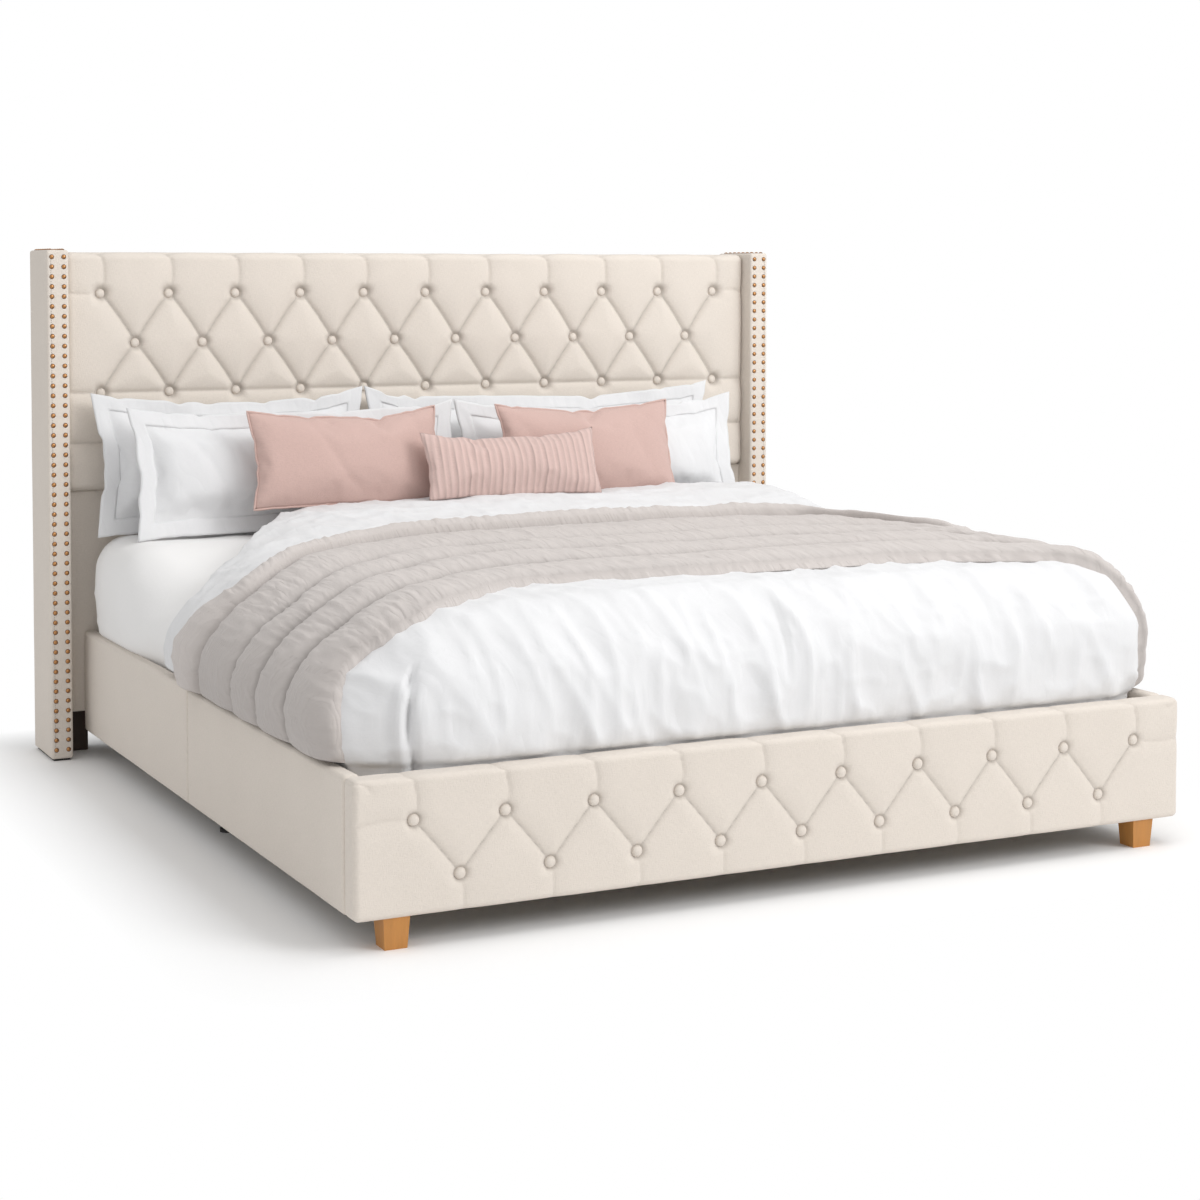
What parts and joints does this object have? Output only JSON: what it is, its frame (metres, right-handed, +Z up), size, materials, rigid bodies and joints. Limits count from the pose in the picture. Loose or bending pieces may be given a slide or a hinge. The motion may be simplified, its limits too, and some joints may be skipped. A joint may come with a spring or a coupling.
{
  "type": "upholstered bed",
  "caption": "Upholstered king-size bed with a diamond-tufted wing headboard trimmed with nailheads, a tufted footboard, slatted base, mattress, quilt and cushions.",
  "frame": {"origin": "on the floor, at the centre of the bed's outline in plan", "axes": "+Y from the foot of the bed to the head, +X to the right of someone who stands at the foot and looks at the headboard, +Z up"},
  "size_m": [2.26, 2.294, 1.4026],
  "materials": {
    "linen": "matt linen weave",
    "back_cloth": "matt plain lining cloth",
    "mattress_cloth": "matt cotton sheet",
    "white_cloth": "matt crinkled cotton",
    "quilt_cloth": "matt crinkled cotton, quilted",
    "blush_cloth": "matt woven",
    "ribbed_cloth": "matt pleated",
    "foot_wood": "satin varnish, honey oak",
    "dark_wood": "satin, dark stain",
    "slat_wood": "bare planed pine",
    "board_wood": "bare plywood",
    "nail_brass": "antique, dark in the rim",
    "plate_steel": "zinc plated",
    "stud_steel": "zinc plated",
    "glide_plastic": "matt black"
  },
  "bodies": {
    "frame": {"beam_saddles": "plate_steel", "centre_beam_foot": "slat_wood", "centre_beam_head": "slat_wood", "corner_brackets": "plate_steel", "foot_studs": "stud_steel", "footboard_board": "board_wood", "footboard_buttons": "linen", "footboard_pad": "linen", "headboard_back_cover": "back_cloth", "headboard_board": "board_wood", "headboard_buttons": "linen", "headboard_lower_panel": "linen", "headboard_pad": "linen", "joiner_plates": "plate_steel", "left_front_foot": "foot_wood", "left_headboard_leg": "dark_wood", "left_rail_foot": "linen", "left_rail_head": "linen", "left_slat_ledge": "slat_wood", "left_wing": "linen", "left_wing_nails": "nail_brass", "right_front_foot": "foot_wood", "right_headboard_leg": "dark_wood", "right_rail_foot": "linen", "right_rail_head": "linen", "right_slat_ledge": "slat_wood", "right_wing": "linen", "right_wing_nails": "nail_brass", "slat_01": "slat_wood", "slat_02": "slat_wood", "slat_03": "slat_wood", "slat_04": "slat_wood", "slat_05": "slat_wood", "slat_06": "slat_wood", "slat_07": "slat_wood", "slat_08": "slat_wood", "slat_09": "slat_wood", "slat_10": "slat_wood", "slat_11": "slat_wood", "support_leg_foot": "slat_wood", "support_leg_head": "slat_wood", "support_leg_left": "slat_wood", "support_leg_right": "slat_wood", "wing_glides": "glide_plastic"},
    "bedding": {"mattress": "mattress_cloth", "duvet": "white_cloth", "quilt": "quilt_cloth", "rear_left_pillow": "white_cloth", "rear_right_pillow": "white_cloth", "front_left_pillow": "white_cloth", "front_right_pillow": "white_cloth", "blush_left_cushion": "blush_cloth", "blush_right_cushion": "blush_cloth", "lumbar_cushion": "ribbed_cloth"},
    "levelling_foot_left": {"levelling_foot_left": "stud_steel"},
    "levelling_foot_right": {"levelling_foot_right": "stud_steel"},
    "levelling_foot_head": {"levelling_foot_head": "stud_steel"},
    "levelling_foot_foot": {"levelling_foot_foot": "stud_steel"}
  },
  "joints": [
    {"name": "bedding_lift", "type": "slide", "parent": "frame", "child": "bedding", "axis": [0, 0, 1], "range_m": [0, 0.3]},
    {"name": "levelling_foot_left_screw", "type": "slide", "parent": "frame", "child": "levelling_foot_left", "axis": [0, 0, 1], "range_m": [0, 0.01]},
    {"name": "levelling_foot_right_screw", "type": "slide", "parent": "frame", "child": "levelling_foot_right", "axis": [0, 0, 1], "range_m": [0, 0.01]},
    {"name": "levelling_foot_head_screw", "type": "slide", "parent": "frame", "child": "levelling_foot_head", "axis": [0, 0, 1], "range_m": [0, 0.01]},
    {"name": "levelling_foot_foot_screw", "type": "slide", "parent": "frame", "child": "levelling_foot_foot", "axis": [0, 0, 1], "range_m": [0, 0.01]}
  ]
}
